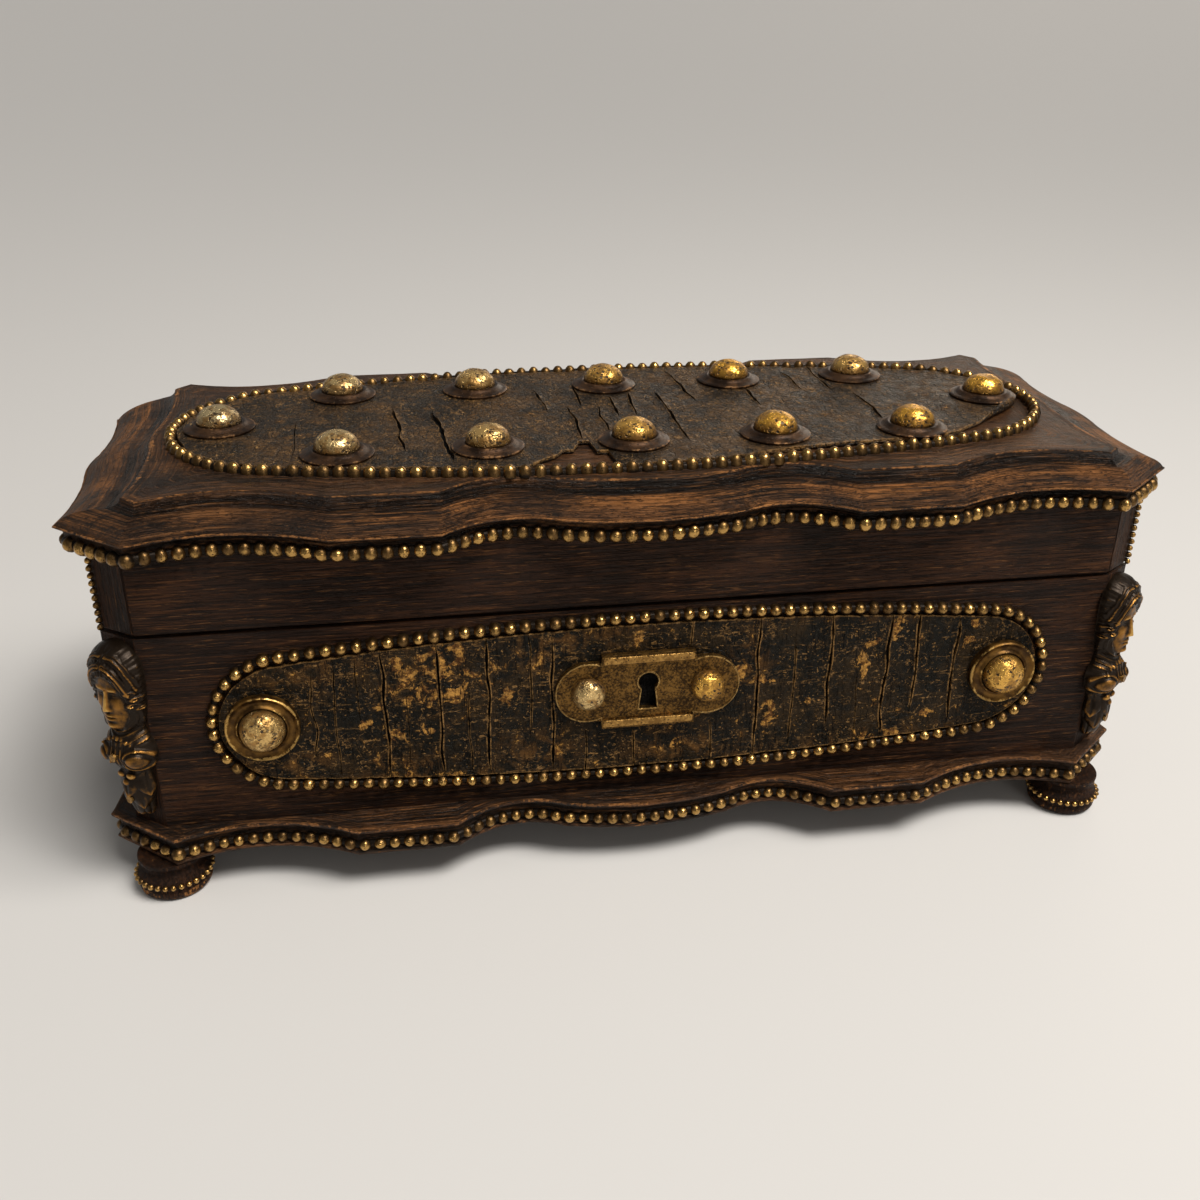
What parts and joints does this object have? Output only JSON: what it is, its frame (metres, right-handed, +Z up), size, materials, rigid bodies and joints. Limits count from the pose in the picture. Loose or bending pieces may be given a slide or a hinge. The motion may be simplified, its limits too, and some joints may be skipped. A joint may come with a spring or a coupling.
{
  "type": "jewelry casket",
  "caption": "Dark oak jewelry casket with a hinged serpentine lid, studded leather ovals, bead trims, cast corner figures, bun feet, a lock and a velvet lining.",
  "frame": {"origin": "on the floor, under the middle of the casket", "axes": "+X to the right along the length, -Y to the front with the keyhole, +Z up"},
  "size_m": [0.305, 0.126, 0.1252],
  "materials": {
    "dark_wood": "worn dark varnish",
    "bead_bronze": "tarnished bead bronze",
    "nail_brass": "pitted domed brass",
    "washer_copper": "dark copper brown",
    "plate_brass": "stippled aged brass",
    "cast_gilt": "worn gilt casting",
    "cracked_leather": "cracked old leather",
    "lock_steel": "plain filed steel",
    "hinge_brass": "dull cast brass",
    "lining_velvet": "worn red velvet"
  },
  "bodies": {
    "case": {"base_board": "dark_wood", "base_bead_trim": "bead_bronze", "base_screws": "lock_steel", "foot_front_left": "dark_wood", "foot_front_right": "dark_wood", "foot_back_left": "dark_wood", "foot_back_right": "dark_wood", "foot_bead_rings": "bead_bronze", "front_panel": "dark_wood", "back_panel": "dark_wood", "left_end_panel": "dark_wood", "right_end_panel": "dark_wood", "corner_post_front_left": "dark_wood", "corner_post_front_right": "dark_wood", "corner_post_back_left": "dark_wood", "corner_post_back_right": "dark_wood", "corner_mount_front_left": "cast_gilt", "corner_mount_front_right": "cast_gilt", "corner_mount_back_left": "cast_gilt", "corner_mount_back_right": "cast_gilt", "corner_mount_pins": "nail_brass", "front_leather_panel": "cracked_leather", "front_bead_border": "bead_bronze", "keyhole_escutcheon": "plate_brass", "escutcheon_nails": "nail_brass", "front_rosette_washers": "plate_brass", "front_rosette_nails": "nail_brass", "lock_case": "lock_steel", "lock_cap": "lock_steel", "lock_key_pin": "lock_steel", "lock_screws": "lock_steel", "hinge_left_case_leaf": "hinge_brass", "hinge_right_case_leaf": "hinge_brass", "hinge_pins": "lock_steel", "hinge_case_screws": "lock_steel", "lining_floor": "lining_velvet", "lining_front": "lining_velvet", "lining_back": "lining_velvet", "lining_left": "lining_velvet", "lining_right": "lining_velvet"},
    "lid": {"lid_top_board": "dark_wood", "lid_bead_trim": "bead_bronze", "rim_front": "dark_wood", "rim_back": "dark_wood", "rim_left": "dark_wood", "rim_right": "dark_wood", "rim_corner_blocks": "dark_wood", "rim_corner_beading": "bead_bronze", "lid_leather_panel": "cracked_leather", "lid_bead_border": "bead_bronze", "lid_stud_washers": "washer_copper", "lid_stud_nails": "nail_brass", "lock_strike": "lock_steel", "lock_strike_screws": "lock_steel", "hinge_left_lid_leaf": "hinge_brass", "hinge_right_lid_leaf": "hinge_brass", "hinge_lid_screws": "lock_steel", "lid_lining": "lining_velvet"},
    "lock_bolt": {"lock_bolt": "lock_steel"}
  },
  "joints": [
    {"name": "lid_hinge", "type": "hinge", "parent": "case", "child": "lid", "pos_m": [0, 0.0552, 0.07975], "axis": [-1, 0, 0], "range_deg": [0, 100]},
    {"name": "lock_bolt_slide", "type": "slide", "parent": "case", "child": "lock_bolt", "axis": [1, 0, 0], "range_m": [0, 0.004]}
  ]
}
